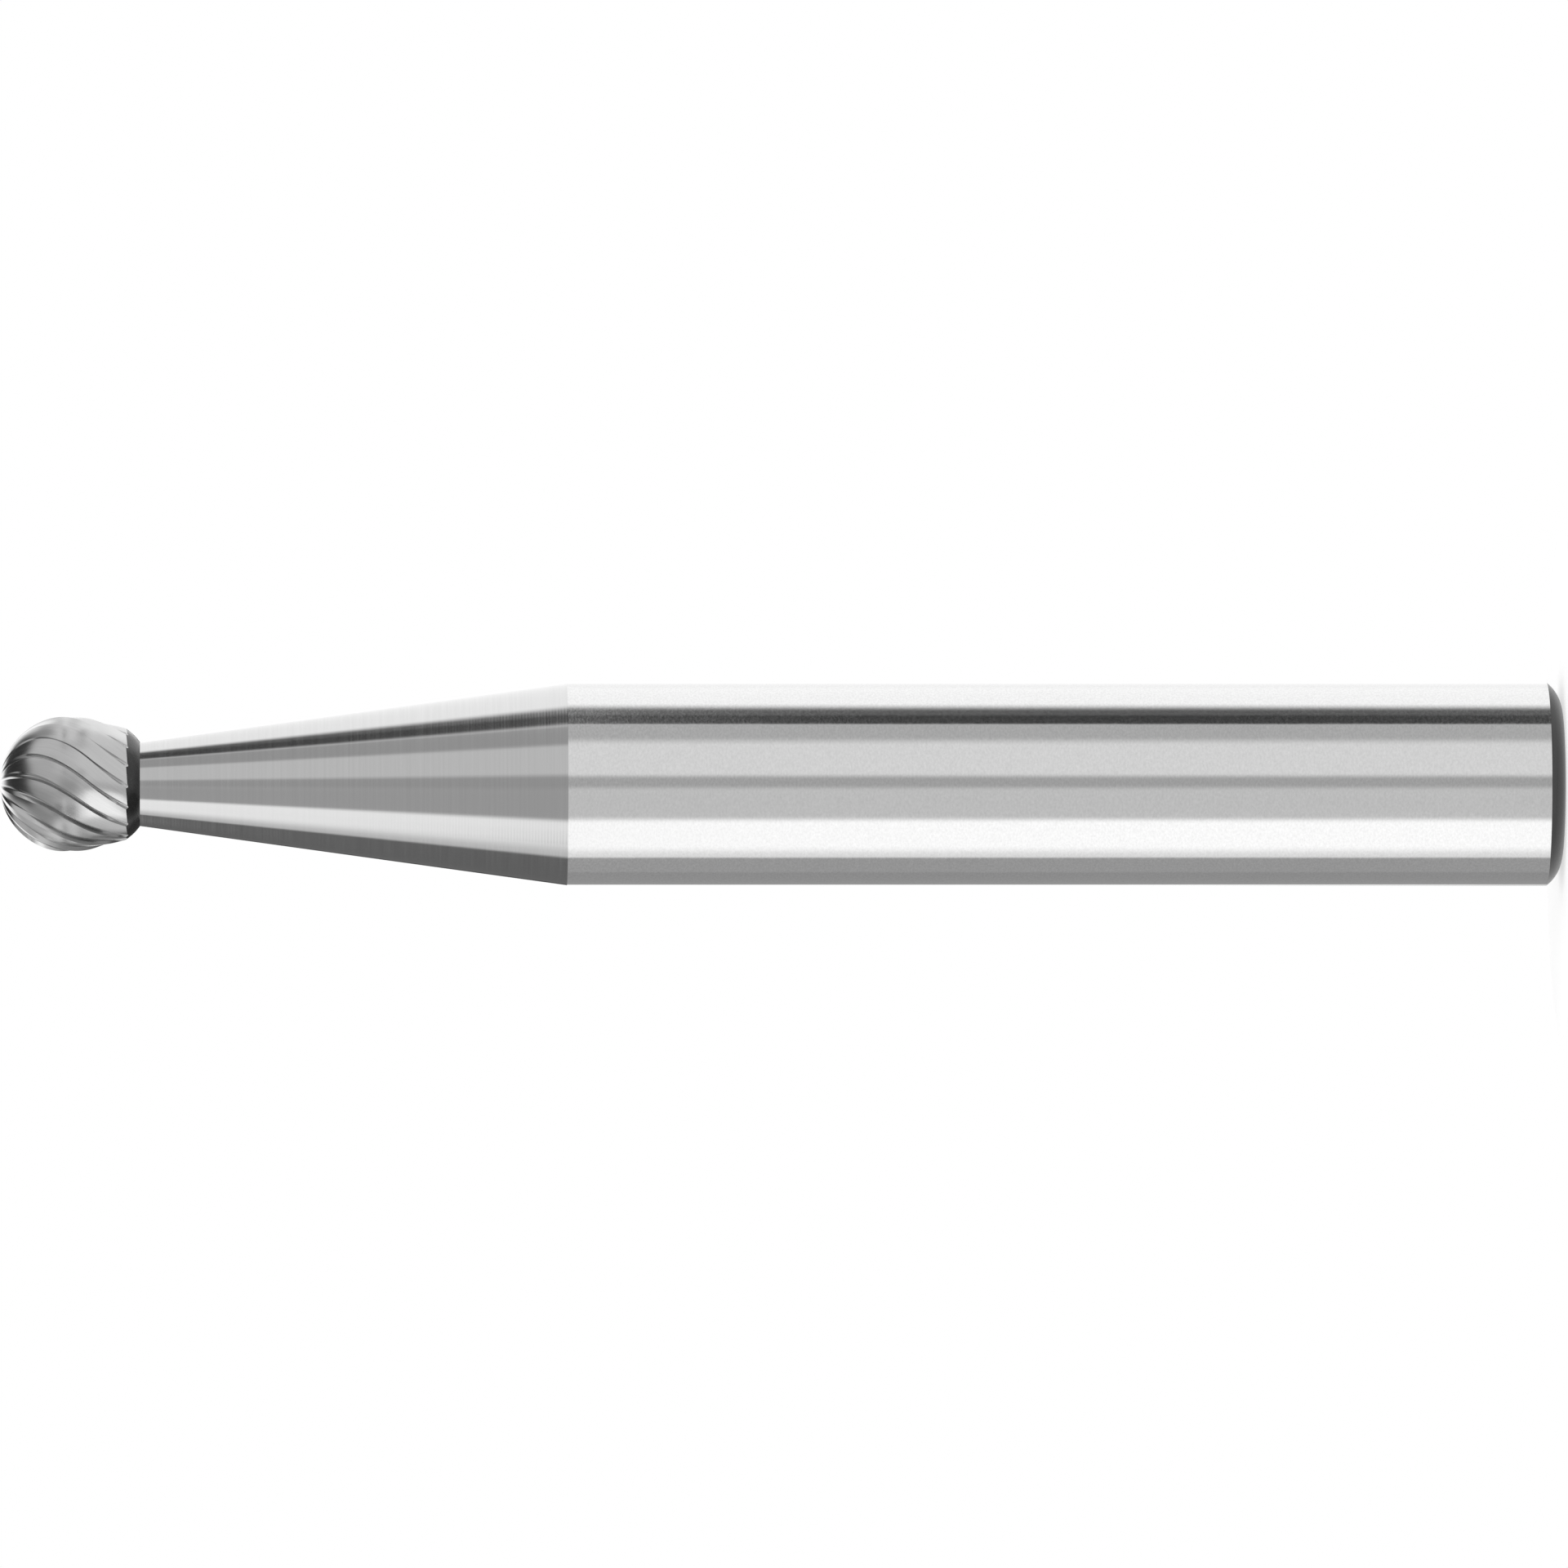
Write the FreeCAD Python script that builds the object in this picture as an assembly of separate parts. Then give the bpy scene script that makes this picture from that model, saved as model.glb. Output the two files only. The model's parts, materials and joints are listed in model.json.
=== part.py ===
import FreeCAD, Part
import math
import os

# Carbide burr with a ball head on a 6 mm shank, all lengths in mm.
# It stands on the end face of its shank: the origin is the centre of that face and +Z points to the ball.

# Whole tool, measured along the axis from the tip of the ball
overall_length = 46.1
tooth_count = 16

# Ball: a quarter circle in front, a fuller arc and a straight slope behind it
ball_radius = 2.0
rear_arc_radius = 3.0
rear_slope = math.radians(15.0)
rear_edge_from_tip = 3.73

# Back chamfer of the head, left black from the sintering, and the joint face on the neck
neck_radius = 1.24
neck_from_tip = 4.14

# Teeth: the lines turn ever faster up to one place, in degrees from the tip, and run on evenly from there
tooth_phase_deg = -8.4
tooth_turn_growth = 4.5
even_turn_from = 2.7

# Flutes: stations along the outline of the ball, and the depth between them
first_station = 0.12
last_station = 5.4
station_count = 17
tooth_depth = 0.2
depth_grows_over = 2.4
depth_fades_from = 3.8

# Places across one tooth at the tip, round the belly and behind: share of the pitch behind the tooth's
# cutting edge, and share of the flute's depth
edge_places = [(0.0, 0.0), (0.0, 0.0), (0.0, 0.0)]
heel_places = [(0.42, 0.4), (0.83, 0.5), (0.74, 0.5)]
root_places = [(0.7, 1.0), (0.92, 1.0), (0.85, 1.0)]
full_tooth_after = 3.0

# Shank: a turned taper, a ground cylinder and a rounded end
shank_radius = 3.0
taper_slope = 0.1375
rounding_height = 0.45
end_flat_radius = 2.1

# Worked out from the sizes above
quarter_length = ball_radius * math.pi / 2
rear_arc_length = rear_arc_radius * rear_slope
slope_start_radius = ball_radius - rear_arc_radius * (1.0 - math.cos(rear_slope))
slope_start_from_tip = ball_radius + rear_arc_radius * math.sin(rear_slope)
rear_edge_radius = slope_start_radius - (rear_edge_from_tip - slope_start_from_tip) * math.tan(rear_slope)
neck_height = overall_length - neck_from_tip
taper_length = (shank_radius - neck_radius) / taper_slope

origin = FreeCAD.Vector(0, 0, 0)
axis = FreeCAD.Vector(0, 0, 1)


def smooth(share):
    """Smooth step from 0 to 1."""
    share = min(max(share, 0.0), 1.0)
    return share * share * (3.0 - 2.0 * share)


def between(first, second, share):
    """Value a share of the way from the first to the second."""
    return first + (second - first) * share


def outline(length):
    """Radius, distance from the tip and slope of the ball's outline, by the length along it."""
    if length <= quarter_length:
        turn = length / ball_radius
        return ball_radius * math.sin(turn), ball_radius * (1.0 - math.cos(turn)), turn - math.pi / 2
    if length <= quarter_length + rear_arc_length:
        turn = (length - quarter_length) / rear_arc_radius
        radius = ball_radius - rear_arc_radius * (1.0 - math.cos(turn))
        return radius, ball_radius + rear_arc_radius * math.sin(turn), turn
    run = length - quarter_length - rear_arc_length
    radius = slope_start_radius - run * math.sin(rear_slope)
    return radius, slope_start_from_tip + run * math.cos(rear_slope), rear_slope


def turned_by(from_tip):
    """Angle in degrees through which a tooth line has turned at a distance from the tip."""
    curved = min(from_tip, even_turn_from)
    even = max(from_tip - even_turn_from, 0.0)
    return tooth_phase_deg + tooth_turn_growth * (curved ** 2 + 2.0 * even_turn_from * even)


def faded(length):
    """Share by which the flutes have run out behind."""
    return smooth((length - depth_fades_from) / (last_station - depth_fades_from))


def flute_depth(length):
    """Depth of the flutes: none at the tip, full round the belly, run out behind."""
    grown = smooth((length - first_station) / depth_grows_over)
    return tooth_depth * grown * (1.0 - faded(length))


def place_across(length, places):
    """Share of the pitch and share of the depth at which one line along a tooth runs."""
    grown = smooth((length - first_station) / full_tooth_after)
    shares = []
    for at_tip, at_belly, behind in zip(*places):
        shares.append(between(between(at_tip, at_belly, grown), behind, faded(length)))
    return shares


def flute_line(tooth, places):
    """One line along a tooth, which is its edge, its heel or the root of its flute."""
    points = []
    for number in range(station_count):
        length = between(first_station, last_station, number / (station_count - 1))
        radius, from_tip, slope = outline(length)
        pitch_share, depth_share = place_across(length, places)
        depth = flute_depth(length) * depth_share
        angle = -math.radians(90.0 + turned_by(from_tip) + (tooth + pitch_share) * 360.0 / tooth_count)
        radius -= depth * math.cos(slope)
        level = overall_length - from_tip + depth * math.sin(slope)
        points.append(FreeCAD.Vector(radius * math.cos(angle), radius * math.sin(angle), level))
    curve = Part.BSplineCurve()
    curve.interpolate(points)
    return curve.toShape()


def fluted_body():
    """The toothed ball, longer behind than the head, as faces stretched between the tooth lines."""
    lines = []
    for tooth in range(tooth_count):
        lines.append(flute_line(tooth, edge_places))
        lines.append(flute_line(tooth, heel_places))
        lines.append(flute_line(tooth, root_places))
    faces = []
    for line, following in zip(lines, lines[1:] + lines[:1]):
        faces.append(Part.makeRuledSurface(line, following))
    for end in (0, -1):
        corners = [line.Vertexes[end].Point for line in lines]
        faces.append(Part.Face(Part.makePolygon(corners + corners[:1])))
    shell = Part.makeShell(faces)
    shell.sewShape()
    return Part.makeSolid(shell)


def back_of_head():
    """Solid in front of the joint face and inside the cone of the back chamfer."""
    chamfer_width = rear_edge_radius - neck_radius
    chamfer_length = neck_from_tip - rear_edge_from_tip
    clear_radius = ball_radius + chamfer_width
    clear_height = neck_height + (clear_radius - neck_radius) * chamfer_length / chamfer_width
    clear_top = overall_length + ball_radius
    corners = [
        FreeCAD.Vector(0, 0, neck_height),
        FreeCAD.Vector(neck_radius, 0, neck_height),
        FreeCAD.Vector(clear_radius, 0, clear_height),
        FreeCAD.Vector(clear_radius, 0, clear_top),
        FreeCAD.Vector(0, 0, clear_top),
    ]
    face = Part.Face(Part.makePolygon(corners + corners[:1]))
    return face.revolve(origin, axis, 360)


def carbide_head():
    """Ball with its teeth, back chamfer and joint face."""
    return fluted_body().common(back_of_head())


def steel_shank():
    """Taper from the neck, ground cylinder and rounded end, turned in one piece."""
    rounding_width = shank_radius - end_flat_radius
    rounding_radius = (rounding_width ** 2 + rounding_height ** 2) / (2 * rounding_height)
    half_turn = math.asin(rounding_width / rounding_radius) / 2
    middle_radius = end_flat_radius + rounding_radius * math.sin(half_turn)
    middle_height = rounding_radius * (1.0 - math.cos(half_turn))

    neck_centre = FreeCAD.Vector(0, 0, neck_height)
    neck_rim = FreeCAD.Vector(neck_radius, 0, neck_height)
    taper_foot = FreeCAD.Vector(shank_radius, 0, neck_height - taper_length)
    cylinder_foot = FreeCAD.Vector(shank_radius, 0, rounding_height)
    rounding_middle = FreeCAD.Vector(middle_radius, 0, middle_height)
    flat_rim = FreeCAD.Vector(end_flat_radius, 0, 0)
    profile = Part.Wire([
        Part.LineSegment(neck_centre, neck_rim).toShape(),
        Part.LineSegment(neck_rim, taper_foot).toShape(),
        Part.LineSegment(taper_foot, cylinder_foot).toShape(),
        Part.Arc(cylinder_foot, rounding_middle, flat_rim).toShape(),
        Part.LineSegment(flat_rim, origin).toShape(),
        Part.LineSegment(origin, neck_centre).toShape(),
    ])
    return Part.Face(profile).revolve(origin, axis, 360)


os.makedirs("parts", exist_ok=True)
pieces = {
    "carbide_head": carbide_head(),
    "steel_shank": steel_shank(),
}
for name, shape in pieces.items():
    solid = shape.Solids[0]
    print(name, "solids", len(shape.Solids), "valid", solid.isValid(), "volume", round(solid.Volume, 3))
    solid.exportStep("parts/" + name + ".step")
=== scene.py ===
import json
import math

import bmesh
import bpy
from mathutils import Matrix, Vector


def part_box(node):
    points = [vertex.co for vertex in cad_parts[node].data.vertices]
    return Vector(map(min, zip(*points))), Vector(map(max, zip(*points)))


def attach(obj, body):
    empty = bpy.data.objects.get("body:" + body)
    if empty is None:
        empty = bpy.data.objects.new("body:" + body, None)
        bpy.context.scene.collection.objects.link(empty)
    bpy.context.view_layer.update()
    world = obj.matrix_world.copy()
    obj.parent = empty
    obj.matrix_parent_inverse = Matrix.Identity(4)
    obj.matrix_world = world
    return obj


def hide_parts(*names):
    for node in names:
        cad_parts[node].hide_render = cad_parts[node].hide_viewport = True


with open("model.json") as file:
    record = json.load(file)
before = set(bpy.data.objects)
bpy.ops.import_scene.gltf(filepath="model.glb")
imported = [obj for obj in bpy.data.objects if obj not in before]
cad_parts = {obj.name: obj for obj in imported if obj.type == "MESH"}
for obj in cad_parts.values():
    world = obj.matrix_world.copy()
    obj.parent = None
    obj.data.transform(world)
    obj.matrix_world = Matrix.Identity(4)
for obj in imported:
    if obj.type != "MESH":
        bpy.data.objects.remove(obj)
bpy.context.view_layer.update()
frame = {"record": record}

# Lengths below are in millimetres, and Blender's are in metres
mm = 0.001
micrometre = 0.000001

# Sizes that come from the frame
head_low, head_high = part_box("carbide_head")
overall_length = head_high.z / mm
neck_height = head_low.z / mm
shank_radius = frame["record"]["mounts"][0]["dims"]["r_mm"]

# Ball: a quarter circle in front, a fuller arc and a straight slope behind it
ball_radius = 2.0
rear_arc_radius = 3.0
rear_slope = math.radians(15.0)
rear_edge_from_tip = 3.73
neck_radius = 1.24

# Teeth: the lines turn ever faster up to one place, in degrees from the tip, and run on evenly from there
tooth_count = 16
tooth_phase_deg = -8.4
tooth_turn_growth = 4.5
even_turn_from = 2.7

# Flutes: stations along the outline of the ball, and the depth between them
first_station = 0.12
last_station = 5.4
tooth_depth = 0.2
depth_grows_over = 2.4
depth_fades_from = 3.8
full_tooth_after = 3.0

# Places across one tooth at the tip, round the belly and behind: share of the pitch behind the tooth's
# cutting edge, and share of the flute's depth
heel_places = [(0.42, 0.4), (0.83, 0.5), (0.74, 0.5)]
root_places = [(0.7, 1.0), (0.92, 1.0), (0.85, 1.0)]

# Fineness of the head's mesh
rings_along_teeth = 150
steps_on_back = 11
steps_in_gullet = 6
steps_on_front = 5
rings_on_chamfer = 8
chamfer_margin = 0.015
chamfer_bulge = 0.035
halvings = 40

# Shank: its taper ends where the photograph shows it, 0.22 mm nearer to the ball than in the CAD
taper_start_from_tip = 16.72
rounding_height = 0.45
end_flat_radius = 2.1
shank_segments = 256
rounding_steps = 10
feed_per_turn = 0.09
ground_material, turned_material, end_material = range(3)

# Camera: a long lens that looks at the middle of the picture from opposite the ball
picture_width = 46.265
picture_middle_from_tip = 23.13
camera_from_tip = 6.4
lens = 500.0
sensor_width = 36.0
nearest_seen = 10.0
farthest_seen = 10000.0

# Floor: a small pale disc
floor_radius = 7.5
floor_segments = 128
floor_grey = 0.8
floor_glow = 0.62

# Worked out from the sizes above
quarter_length = ball_radius * math.pi / 2
rear_arc_length = rear_arc_radius * rear_slope
slope_start_radius = ball_radius - rear_arc_radius * (1.0 - math.cos(rear_slope))
slope_start_from_tip = ball_radius + rear_arc_radius * math.sin(rear_slope)
rear_edge_radius = slope_start_radius - (rear_edge_from_tip - slope_start_from_tip) * math.tan(rear_slope)
rear_edge_height = overall_length - rear_edge_from_tip
chamfer_slope = (rear_edge_radius - neck_radius) / (rear_edge_height - neck_height)
taper_start_height = overall_length - taper_start_from_tip


def smooth(share):
    """Smooth step from 0 to 1."""
    share = min(max(share, 0.0), 1.0)
    return share * share * (3.0 - 2.0 * share)


def between(first, second, share):
    """Value a share of the way from the first to the second."""
    return first + (second - first) * share


# Head

def outline(length):
    """Radius, distance from the tip and slope of the ball's outline, by the length along it."""
    if length <= quarter_length:
        turn = length / ball_radius
        return ball_radius * math.sin(turn), ball_radius * (1.0 - math.cos(turn)), turn - math.pi / 2
    if length <= quarter_length + rear_arc_length:
        turn = (length - quarter_length) / rear_arc_radius
        radius = ball_radius - rear_arc_radius * (1.0 - math.cos(turn))
        return radius, ball_radius + rear_arc_radius * math.sin(turn), turn
    run = length - quarter_length - rear_arc_length
    radius = slope_start_radius - run * math.sin(rear_slope)
    return radius, slope_start_from_tip + run * math.cos(rear_slope), rear_slope


def turned_by(from_tip):
    """Angle in degrees through which a tooth line has turned at a distance from the tip."""
    curved = min(from_tip, even_turn_from)
    even = max(from_tip - even_turn_from, 0.0)
    return tooth_phase_deg + tooth_turn_growth * (curved ** 2 + 2.0 * even_turn_from * even)


def faded(length):
    """Share by which the flutes have run out behind."""
    return smooth((length - depth_fades_from) / (last_station - depth_fades_from))


def flute_depth(length):
    """Depth of the flutes: none at the tip, full round the belly, run out behind."""
    grown = smooth((length - first_station) / depth_grows_over)
    return tooth_depth * grown * (1.0 - faded(length))


def place_across(length, places):
    """Share of the pitch and share of the depth at which one line along a tooth runs."""
    grown = smooth((length - first_station) / full_tooth_after)
    shares = []
    for at_tip, at_belly, behind in zip(*places):
        shares.append(between(between(at_tip, at_belly, grown), behind, faded(length)))
    return shares


def tooth_section(length):
    """Points across one tooth, as shares of pitch and depth, from its edge to just before the next edge."""
    heel_share, heel_depth = place_across(length, heel_places)
    root_share, root_depth = place_across(length, root_places)
    points = []
    for step in range(steps_on_back):
        share = step / steps_on_back
        points.append((heel_share * share, heel_depth * share))
    for step in range(steps_in_gullet):
        share = step / steps_in_gullet
        hollow = math.sin(share * math.pi / 2)
        points.append((between(heel_share, root_share, share), between(heel_depth, root_depth, hollow)))
    for step in range(steps_on_front):
        share = step / steps_on_front
        points.append((between(root_share, 1.0, share), root_depth * (1.0 - share)))
    return points


def point_at(radius, height, turned, straight_turn, length):
    """Point of the head: its position, and its place with the spiral turned back."""
    angle = -(math.pi / 2 + math.radians(turned) + straight_turn)
    position = Vector((radius * math.cos(angle), radius * math.sin(angle), height))
    unwound = Vector((math.cos(straight_turn), math.sin(straight_turn), length))
    return position, unwound


def surface_point(length, tooth, place):
    """Point on the toothed ball, by its tooth and its place across that tooth."""
    pitch_share, depth_share = place
    radius, from_tip, slope = outline(length)
    depth = flute_depth(length) * depth_share
    radius -= depth * math.cos(slope)
    height = overall_length - from_tip + depth * math.sin(slope)
    straight_turn = (tooth + pitch_share) * 2.0 * math.pi / tooth_count
    return point_at(radius, height, turned_by(from_tip), straight_turn, length)


def chamfer_height(radius):
    """Height of the slightly bulged back chamfer at a radius."""
    share = (radius - neck_radius) / (rear_edge_radius - neck_radius)
    bulge = chamfer_bulge * math.sin(math.pi * min(max(share, 0.0), 1.0))
    return neck_height + (radius - neck_radius) / chamfer_slope - bulge


def column_end(column):
    """Length along the outline at which one line of the surface meets the back chamfer."""
    inside, outside = quarter_length, last_station
    for halving in range(halvings):
        middle = (inside + outside) / 2
        position = surface_point(middle, 0, tooth_section(middle)[column])[0]
        if position.z > chamfer_height(math.hypot(position.x, position.y)):
            inside = middle
        else:
            outside = middle
    return inside


def head_mesh():
    """Toothed ball with its back chamfer and joint face, as one closed mesh with sharp edges."""
    columns = len(tooth_section(first_station))
    ends = [column_end(column) for column in range(columns)]
    end_shares = [tooth_section(end)[column][0] for column, end in enumerate(ends)]
    bm = bmesh.new()
    unwound_layer = bm.verts.layers.float_vector.new("unwound")

    def add_vertex(position, unwound):
        vertex = bm.verts.new(position * mm)
        vertex[unwound_layer] = unwound
        return vertex

    # Rings of vertices from the tip to the rear edge, each line ending exactly on the chamfer
    rings = []
    for ring in range(rings_along_teeth + 1):
        share = ring / rings_along_teeth
        vertices = []
        for tooth in range(tooth_count):
            for column in range(columns):
                length = between(first_station, ends[column], share)
                place = tooth_section(length)[column]
                vertices.append(add_vertex(*surface_point(length, tooth, place)))
        rings.append(vertices)

    # Chamfer rings from just inside the toothed rear edge to the neck, spaced ever more evenly
    chamfer_top_radius = min(vertex.co.xy.length for vertex in rings[-1]) / mm - chamfer_margin
    turned_at_edge = turned_by(rear_edge_from_tip)
    chamfer_rings = []
    for ring in range(rings_on_chamfer):
        share = ring / (rings_on_chamfer - 1)
        radius = between(chamfer_top_radius, neck_radius, share)
        height = chamfer_height(radius)
        vertices = []
        for tooth in range(tooth_count):
            for end, pitch_share in zip(ends, end_shares):
                straight_turn = (tooth + pitch_share) * 2.0 * math.pi / tooth_count
                turned = between(turned_by(outline(end)[1]), turned_at_edge, share)
                vertices.append(add_vertex(*point_at(radius, height, turned, straight_turn, last_station)))
        chamfer_rings.append(vertices)

    count = len(rings[0])

    def join(first, second, material):
        for place in range(count):
            following = (place + 1) % count
            face = bm.faces.new((first[place], second[place], second[following], first[following]))
            face.smooth = True
            face.material_index = material

    for first, second in zip(rings, rings[1:]):
        join(first, second, 0)
    for first, second in zip([rings[-1]] + chamfer_rings, chamfer_rings):
        join(first, second, 1)

    # Tip and joint face
    tip = add_vertex(Vector((0.0, 0.0, overall_length)), Vector((0.0, 0.0, 0.0)))
    joint_centre = add_vertex(Vector((0.0, 0.0, neck_height)), Vector((0.0, 0.0, last_station)))
    for place in range(count):
        following = (place + 1) % count
        face = bm.faces.new((tip, rings[0][place], rings[0][following]))
        face.smooth = True
        face = bm.faces.new((joint_centre, chamfer_rings[-1][following], chamfer_rings[-1][place]))
        face.material_index = 1

    # Sharp along the cutting edges and heels, round the rear edge and the neck
    sharp_columns = (0, steps_on_back)
    for first, second in zip(rings, rings[1:]):
        for place in range(count):
            if place % columns in sharp_columns:
                bm.edges.get((first[place], second[place])).smooth = False
    for vertices in (rings[-1], chamfer_rings[-1]):
        for place in range(count):
            bm.edges.get((vertices[place], vertices[(place + 1) % count])).smooth = False

    bmesh.ops.recalc_face_normals(bm, faces=bm.faces)
    mesh = bpy.data.meshes.new("burr_head")
    bm.to_mesh(mesh)
    bm.free()
    return mesh


# Shank

def shank_profile():
    """Half outline of the shank from its end to the neck: radius, height, sharp or not, material above."""
    rounding_width = shank_radius - end_flat_radius
    rounding_radius = (rounding_width ** 2 + rounding_height ** 2) / (2 * rounding_height)
    whole_turn = math.asin(rounding_width / rounding_radius)
    points = [(end_flat_radius, 0.0, True, end_material)]
    for step in range(1, rounding_steps):
        turn = whole_turn * step / rounding_steps
        radius = end_flat_radius + rounding_radius * math.sin(turn)
        points.append((radius, rounding_radius * (1.0 - math.cos(turn)), False, end_material))
    points.append((shank_radius, rounding_height, True, ground_material))
    points.append((shank_radius, taper_start_height, True, turned_material))
    points.append((neck_radius, neck_height, True, turned_material))
    return points


def lathe_mesh(name, profile):
    """Closed mesh of revolution about Z."""
    bm = bmesh.new()
    rings = []
    for radius, height, sharp, material in profile:
        vertices = []
        for segment in range(shank_segments):
            angle = 2.0 * math.pi * segment / shank_segments
            position = Vector((radius * math.cos(angle), radius * math.sin(angle), height))
            vertices.append(bm.verts.new(position * mm))
        rings.append(vertices)
    bottom = bm.verts.new((0.0, 0.0, profile[0][1] * mm))
    top = bm.verts.new((0.0, 0.0, profile[-1][1] * mm))
    for place in range(shank_segments):
        following = (place + 1) % shank_segments
        for first, second, point in zip(rings, rings[1:], profile):
            face = bm.faces.new((first[place], first[following], second[following], second[place]))
            face.smooth = True
            face.material_index = point[-1]
        bm.faces.new((bottom, rings[0][following], rings[0][place])).material_index = profile[0][-1]
        bm.faces.new((top, rings[-1][place], rings[-1][following])).material_index = profile[-1][-1]
    for vertices, (radius, height, sharp, material) in zip(rings, profile):
        if sharp:
            for place in range(shank_segments):
                bm.edges.get((vertices[place], vertices[(place + 1) % shank_segments])).smooth = False
    mesh = bpy.data.meshes.new(name)
    bm.to_mesh(mesh)
    bm.free()
    return mesh


# Patterns: the fineness of each along the three axes, per metre. The grinding lines of the head follow
# the cosine and sine of the turn, and the millimetres along the outline.
fine_grinding = (60.0, 60.0, 0.5)
coarse_grinding = (14.0, 14.0, 0.9)
sintered_grain = (9000.0, 9000.0, 9000.0)
ground_waves = (900.0, 900.0, 300.0)
ground_speckle = (11000.0, 11000.0, 17000.0)
turning_lines = (300.0, 300.0, 16000.0)
end_lines = (500.0, 500.0, 9000.0)
plain_detail = 2.0
rich_detail = 3.0

# Shares of one pattern in the height of the bump, where two are mixed
coarse_share = 0.4
speckle_share = 0.1
turning_share = 0.75


# Node helpers

class Nodes:
    """Short ways to add shader nodes to one tree."""

    def __init__(self, tree):
        self.tree = tree
        tree.nodes.clear()

    def add(self, kind, **settings):
        node = self.tree.nodes.new(kind)
        for name, value in settings.items():
            setattr(node, name, value)
        return node

    def connect(self, value, socket):
        """Puts a socket or a number into an input socket."""
        if isinstance(value, bpy.types.NodeSocket):
            self.tree.links.new(value, socket)
        else:
            socket.default_value = value

    def math(self, operation, *values):
        node = self.add("ShaderNodeMath", operation=operation)
        for value, socket in zip(values, node.inputs):
            self.connect(value, socket)
        return node.outputs[0]

    def step(self, value, low, high, first=0.0, last=1.0):
        """Smooth change from first to last while the value goes from low to high."""
        node = self.add("ShaderNodeMapRange", interpolation_type="SMOOTHSTEP")
        for given, name in ((value, "Value"), (low, "From Min"), (high, "From Max"),
                            (first, "To Min"), (last, "To Max")):
            self.connect(given, node.inputs[name])
        return node.outputs["Result"]

    def mix(self, share, first, second):
        """Number a share of the way from the first to the second."""
        node = self.add("ShaderNodeMix", data_type="FLOAT")
        for value, place in ((share, 0), (first, 2), (second, 3)):
            self.connect(value, node.inputs[place])
        return node.outputs[0]

    def noise(self, vector, fineness, detail=plain_detail):
        """Noise with its own fineness along each axis."""
        stretched = self.add("ShaderNodeVectorMath", operation="MULTIPLY")
        self.connect(vector, stretched.inputs[0])
        stretched.inputs[1].default_value = fineness
        node = self.add("ShaderNodeTexNoise")
        self.connect(stretched.outputs[0], node.inputs["Vector"])
        node.inputs["Scale"].default_value = 1.0
        node.inputs["Detail"].default_value = detail
        return node.outputs["Fac"]

    def seen(self):
        """1 for camera, glossy and transmission rays, and 0 for the rest."""
        path = self.add("ShaderNodeLightPath").outputs
        rays = self.math("ADD", path["Is Camera Ray"], path["Is Glossy Ray"])
        rays = self.math("ADD", rays, path["Is Transmission Ray"])
        return self.math("MINIMUM", rays, 1.0)

    def grey(self, value):
        node = self.add("ShaderNodeCombineColor")
        for socket in node.inputs:
            self.connect(value, socket)
        return node.outputs[0]


def new_material(name):
    material = bpy.data.materials.new(name)
    material.use_nodes = True
    return material, Nodes(material.node_tree)


class Finish:
    """Greys and roughnesses between which a metal varies, and the depth of its bump in micrometres."""

    def __init__(self, greys, roughnesses, bump):
        self.greys = greys
        self.roughnesses = roughnesses
        self.bump = bump


carbide_finish = Finish((0.47, 0.61), (0.2, 0.27), 1.0)
chamfer_finish = Finish((0.11, 0.15), (0.22, 0.32), 2.0)
ground_finish = Finish((0.57, 0.75), (0.05, 0.1), 2.0)
turned_finish = Finish((0.57, 0.63), (0.05, 0.09), 0.1)
# The rounded end's greys are painted shade: far darker than steel, they stand in for the dark reflection
# the end shows
end_finish_painted_shade = Finish((0.05, 0.09), (0.22, 0.34), 1.0)


def metal(nodes, finish, grey_share, roughness_share, height):
    """Metal surface whose grey and roughness vary by a share, with a height for its bump."""
    shader = nodes.add("ShaderNodeBsdfPrincipled")
    shader.inputs["Metallic"].default_value = 1.0
    nodes.connect(nodes.grey(nodes.mix(grey_share, *finish.greys)), shader.inputs["Base Color"])
    nodes.connect(nodes.mix(roughness_share, *finish.roughnesses), shader.inputs["Roughness"])
    bump = nodes.add("ShaderNodeBump")
    bump.inputs["Strength"].default_value = 1.0
    bump.inputs["Distance"].default_value = finish.bump * micrometre
    nodes.connect(height, bump.inputs["Height"])
    nodes.connect(bump.outputs["Normal"], shader.inputs["Normal"])
    output = nodes.add("ShaderNodeOutputMaterial")
    nodes.connect(shader.outputs["BSDF"], output.inputs["Surface"])


def ground_carbide():
    """Teeth: satin ground carbide with fine grinding lines along the flutes."""
    material, nodes = new_material("ground_carbide")
    unwound = nodes.add("ShaderNodeAttribute", attribute_name="unwound").outputs["Vector"]
    fine = nodes.noise(unwound, fine_grinding, rich_detail)
    coarse = nodes.noise(unwound, coarse_grinding)
    lines = nodes.mix(coarse_share, fine, coarse)
    metal(nodes, carbide_finish, lines, coarse, lines)
    return material


def sintered_carbide():
    """Back chamfer: dark carbide as it came from the furnace."""
    material, nodes = new_material("sintered_carbide")
    place = nodes.add("ShaderNodeTexCoord").outputs["Object"]
    grain = nodes.noise(place, sintered_grain, rich_detail)
    metal(nodes, chamfer_finish, grain, grain, grain)
    return material


def ground_steel():
    """Cylinder: bright ground steel, finely speckled and a little wavy."""
    material, nodes = new_material("ground_steel")
    place = nodes.add("ShaderNodeTexCoord").outputs["Object"]
    waves = nodes.noise(place, ground_waves)
    speckle = nodes.noise(place, ground_speckle)
    height = nodes.mix(speckle_share, waves, speckle)
    metal(nodes, ground_finish, speckle, speckle, height)
    return material


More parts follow.
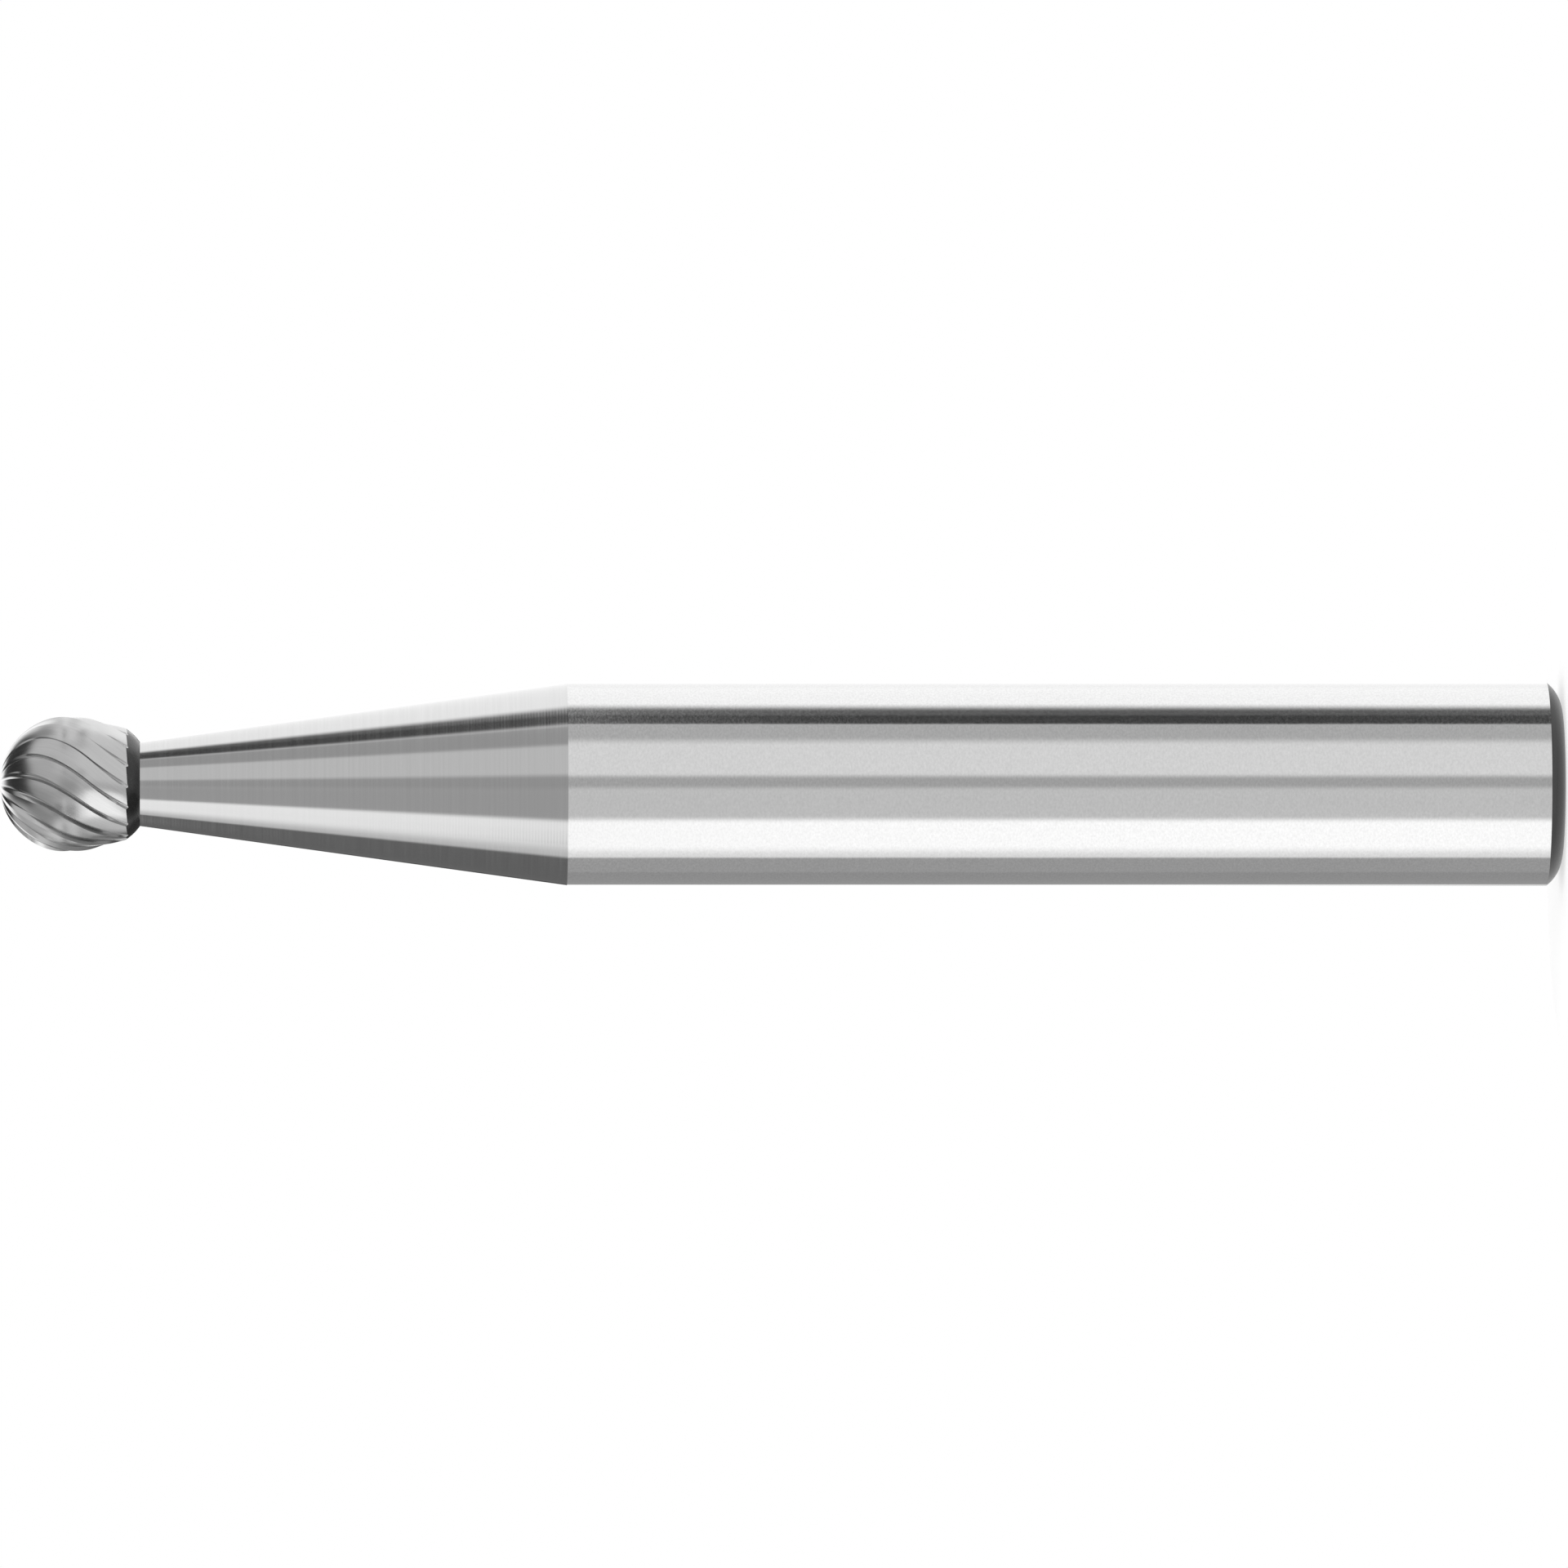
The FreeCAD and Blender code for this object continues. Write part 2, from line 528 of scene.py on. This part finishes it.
def turned_steel():
    """Taper: duller turned steel, with the feed marks of the lathe."""
    material, nodes = new_material("turned_steel")
    place = nodes.add("ShaderNodeTexCoord").outputs["Object"]
    split = nodes.add("ShaderNodeSeparateXYZ")
    nodes.connect(place, split.inputs[0])
    turn = nodes.math("MULTIPLY", split.outputs["Z"], 2.0 * math.pi / (feed_per_turn * mm))
    feed = nodes.math("SINE", turn)
    lines = nodes.noise(place, turning_lines)
    height = nodes.mix(turning_share, feed, lines)
    metal(nodes, turned_finish, lines, lines, height)
    return material


def painted_shade_end_steel():
    """Rounded end: steel painted near black as painted shade, standing in for the dark reflection it shows,
    with faint lines round it.
    """
    material, nodes = new_material("painted_shade_end_steel")
    place = nodes.add("ShaderNodeTexCoord").outputs["Object"]
    lines = nodes.noise(place, end_lines, rich_detail)
    # Its greys are painted shade, not the steel's own colour
    metal(nodes, end_finish_painted_shade, lines, lines, lines)
    return material


# Studio: soft-edged cards and dark gaps all round the burr. Angles are in degrees: the azimuth counts
# from the camera's side and grows towards -X, the elevation from the horizon. A slanted card sinks as
# its azimuth grows. Each card covers those before it.

class Card:
    """One card or gap of the studio, with the softness of its sides and the level of its light."""

    def __init__(self, azimuths, elevations, level, side_softness=5.0, end_softness=8.0, slant=0.0):
        self.azimuths = azimuths
        self.elevations = elevations
        self.level = level
        self.side_softness = side_softness
        self.end_softness = end_softness
        self.slant = slant


plain_level = 0.55
white_level = 1.0
gap_level = 0.04
half_turn = 180.0
# Gaps in the ceiling: azimuth, elevation, and the angles from there at which they begin to fade and end
ceiling_gaps = [
    (-135.0, 62.0, 22.0, 32.0),
    (150.0, 68.0, 12.0, 24.0),
    (0.0, 90.0, 12.0, 27.0),
    (95.0, 66.0, 10.0, 20.0),
]
# Elevations that the ground cylinder sees all round, and the taper in front
low_strip = (-5.0, 0.2)
high_strip = (12.8, 16.8)
cards = [
    # Tent in front and above
    Card((-20.0, 132.0), (-96.0, 96.0), 0.62, 24.0),
    Card((-92.0, 0.0), (-40.0, 96.0), 0.8, 16.0, 16.0),
    Card((-92.0, 14.0), (-30.0, -5.0), 0.92, 10.0, 4.0),
    Card((-36.0, 24.0), (30.0, 70.0), 0.66, 16.0, 10.0),
    Card((12.0, 36.0), (0.0, 22.0), 0.42, 8.0, 8.0),
    Card((40.0, 78.0), (30.0, 66.0), 0.46, 14.0, 14.0),
    Card((56.0, 80.0), (2.0, 26.0), 0.25, 8.0, 8.0),
    Card((80.0, 112.0), (22.0, 60.0), 0.38, 10.0, 14.0),
    Card((86.0, 136.0), (0.0, 20.0), 1.0, 8.0, 6.0),
    Card((132.0, 170.0), (10.0, 46.0), 0.56, 10.0, 8.0),
    Card((48.0, 118.0), (-34.0, -4.0), 0.86, 10.0, 4.0),
    # Softboxes behind the burr
    Card((-196.0, -90.0), (-46.0, -5.0), 0.95, 10.0, 4.0),
    Card((-196.0, -90.0), (-17.0, -5.0), 1.5, 10.0, 4.0),
    Card((-196.0, -98.0), (-5.0, 22.0), 0.84, 10.0),
    Card((-98.0, -66.0), (-12.0, 20.0), 1.1, 12.0, 6.0),
    Card((-205.0, -133.0), (12.0, 42.0), 1.6, 10.0),
    Card((-120.0, -88.0), (22.0, 50.0), 0.4, 10.0, 12.0),
    # Low reflector and low gap, seen by the back of the ball
    Card((30.0, 82.0), (-19.0, -6.0), 1.75, 4.0, 2.0),
    Card((128.0, 190.0), (-44.0, -4.0), 0.09, 4.0, 1.0),
    Card((142.0, 190.0), (-5.0, 8.0), 0.09, 10.0, 3.0),
    # Strips seen by the ground cylinder, from the top of the picture to the bottom
    Card((-196.0, -90.0), low_strip, 1.34, 6.0, 1.2),
    Card((-196.0, -142.0), low_strip, 1.2, 20.0, 1.2),
    Card((-98.0, -76.0), (-4.6, -0.4), 0.13, 14.0, 0.8),
    Card((-85.0, -71.5), (-4.6, -0.4), 0.05, 4.0, 0.8),
    Card((-71.5, -44.0), low_strip, 0.57, 3.0, 1.2),
    Card((-50.0, 0.0), low_strip, 0.96, 11.0, 1.2),
    Card((-4.0, 48.0), low_strip, 0.76, 8.0, 1.2),
    Card((-9.0, 4.0), low_strip, 0.5, 7.0, 1.2),
    Card((41.0, 100.0), low_strip, 1.46, 9.0, 1.2),
    Card((82.0, 110.0), low_strip, 1.04, 16.0, 1.2),
    Card((92.5, 182.0), low_strip, 0.44, 3.0, 1.2),
    Card((120.0, 182.0), low_strip, 0.38, 4.0, 1.2),
    # The same seen by the taper
    Card((-196.0, -90.0), (2.4, 6.4), 1.28, 8.0, 1.2, -0.12),
    Card((-98.0, -72.0), (10.4, 13.5), 0.14, 12.0, 0.8, -0.09),
    Card((-88.0, -74.0), (10.4, 13.5), 0.07, 8.0, 0.8, -0.09),
    Card((-71.0, -44.0), (11.4, 16.2), 0.45, 6.0, 1.0),
    Card((-46.0, 0.0), high_strip, 0.76, 8.0, 1.2),
    Card((-6.0, 48.0), high_strip, 0.49, 8.0, 1.2),
    Card((-10.0, 5.0), high_strip, 0.44, 8.0, 1.2),
    Card((43.0, 80.0), (12.2, 15.4), 1.3, 8.0, 1.2, 0.06),
    Card((74.0, 100.0), (10.2, 13.2), 1.3, 4.0, 1.2, 0.08),
    Card((80.0, 110.0), (9.2, 12.8), 0.72, 24.0, 1.2, 0.1),
    Card((93.5, 160.0), (4.9, 8.1), 0.17, 6.0, 1.2, 0.116),
    # Dimmer light from below all round, and a gap in it that the flutes see
    Card((-190.0, 190.0), (-100.0, -48.0), 0.35, 5.0, 12.0),
    Card((45.0, 175.0), (-100.0, -48.0), 0.1, 20.0, 12.0),
]


def unit_vector(azimuth, elevation):
    """Direction at an azimuth and elevation in degrees."""
    azimuth, elevation = math.radians(azimuth), math.radians(elevation)
    return Vector((-math.sin(azimuth) * math.cos(elevation),
                   -math.cos(azimuth) * math.cos(elevation),
                   math.sin(elevation)))


def cover_with_card(nodes, azimuth, elevation, level, card):
    """Level of light in a direction once one more card stands there."""
    first, last = card.azimuths
    half = (last - first) / 2
    off = nodes.math("WRAP", nodes.math("SUBTRACT", azimuth, (first + last) / 2), half_turn, -half_turn)
    away = nodes.math("ABSOLUTE", off)
    share = nodes.step(away, half - card.side_softness / 2, half + card.side_softness / 2, 1.0, 0.0)
    if card.slant:
        elevation = nodes.math("MULTIPLY_ADD", off, card.slant, elevation)
    low, high = card.elevations
    soft = card.end_softness / 2
    share = nodes.math("MULTIPLY", share, nodes.step(elevation, low - soft, low + soft))
    share = nodes.math("MULTIPLY", share, nodes.step(elevation, high - soft, high + soft, 1.0, 0.0))
    return nodes.mix(share, level, card.level)


def studio_world():
    """White background, with the studio's cards and dark gaps in front of it for all but the camera."""
    world = bpy.data.worlds.new("studio")
    world.use_nodes = True
    bpy.context.scene.world = world
    nodes = Nodes(world.node_tree)
    direction = nodes.add("ShaderNodeTexCoord").outputs["Generated"]
    split = nodes.add("ShaderNodeSeparateXYZ")
    nodes.connect(direction, split.inputs[0])
    x, y, z = split.outputs
    azimuth = nodes.math("ARCTAN2", nodes.math("MULTIPLY", x, -1.0), nodes.math("MULTIPLY", y, -1.0))
    azimuth = nodes.math("DEGREES", azimuth)
    elevation = nodes.math("DEGREES", nodes.math("ARCSINE", z))

    # Camera, glossy and transmission rays see the white background, and the rest get plain light
    background = nodes.mix(nodes.seen(), plain_level, white_level)

    level = background
    for card in cards:
        level = cover_with_card(nodes, azimuth, elevation, level, card)

    # Dark gaps in the ceiling
    for gap_azimuth, gap_elevation, inner, outer in ceiling_gaps:
        towards = nodes.add("ShaderNodeVectorMath", operation="DOT_PRODUCT")
        nodes.connect(direction, towards.inputs[0])
        towards.inputs[1].default_value = unit_vector(gap_azimuth, gap_elevation)
        outer_cosine, inner_cosine = math.cos(math.radians(outer)), math.cos(math.radians(inner))
        share = nodes.step(towards.outputs["Value"], outer_cosine, inner_cosine)
        level = nodes.mix(share, level, gap_level)

    # The camera itself sees only the white background
    camera_ray = nodes.add("ShaderNodeLightPath").outputs["Is Camera Ray"]
    studio = nodes.add("ShaderNodeBackground")
    nodes.connect(nodes.grey(nodes.mix(camera_ray, level, background)), studio.inputs["Color"])
    output = nodes.add("ShaderNodeOutputWorld")
    nodes.connect(studio.outputs[0], output.inputs["Surface"])


def floor():
    """Small pale disc under the burr, which keeps the burr's shadow."""
    bpy.ops.mesh.primitive_circle_add(vertices=floor_segments, radius=floor_radius * mm,
                                      fill_type="NGON", location=(0.0, 0.0, 0.0))
    disc = bpy.context.active_object
    disc.name = "floor"
    material, nodes = new_material("floor")
    pale = nodes.add("ShaderNodeBsdfDiffuse")
    pale.inputs["Color"].default_value = (floor_grey, floor_grey, floor_grey, 1.0)
    glow = nodes.add("ShaderNodeEmission")
    nodes.connect(nodes.math("MULTIPLY", nodes.seen(), floor_glow), glow.inputs["Strength"])
    both = nodes.add("ShaderNodeAddShader")
    nodes.connect(pale.outputs[0], both.inputs[0])
    nodes.connect(glow.outputs[0], both.inputs[1])
    output = nodes.add("ShaderNodeOutputMaterial")
    nodes.connect(both.outputs[0], output.inputs["Surface"])
    disc.data.materials.append(material)


def place_camera():
    """The photograph's view: the axis lies across the picture with the ball on the left."""
    target = Vector((0.0, 0.0, overall_length - picture_middle_from_tip)) * mm
    distance = lens * picture_width / sensor_width
    rise = picture_middle_from_tip - camera_from_tip
    back = Vector((0.0, -distance, rise)).normalized()
    right = Vector((0.0, 0.0, -1.0))
    right = (right - back * right.dot(back)).normalized()
    up = back.cross(right)
    camera = bpy.data.objects.new("camera", bpy.data.cameras.new("camera"))
    bpy.context.scene.collection.objects.link(camera)
    camera.data.lens = lens
    camera.data.sensor_width = sensor_width
    camera.data.clip_start = nearest_seen * mm
    camera.data.clip_end = farthest_seen * mm
    turn = Matrix((right, up, back)).transposed().to_4x4()
    camera.matrix_world = Matrix.Translation(target + back * distance * mm) @ turn
    bpy.context.scene.camera = camera


def add_piece(name, mesh, materials, node):
    """One visible piece in place of a CAD node."""
    piece = bpy.data.objects.new(name, mesh)
    bpy.context.scene.collection.objects.link(piece)
    for material in materials:
        mesh.materials.append(material)
    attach(piece, "root")
    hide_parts(node)
    return piece


place_camera()
head_materials = [ground_carbide(), sintered_carbide()]
shank_materials = [ground_steel(), turned_steel(), painted_shade_end_steel()]
shank_mesh = lathe_mesh("burr_shank", shank_profile())
add_piece("burr_head", head_mesh(), head_materials, "carbide_head")
add_piece("burr_shank", shank_mesh, shank_materials, "steel_shank")
studio_world()
floor()
bpy.context.scene.view_settings.view_transform = "Standard"
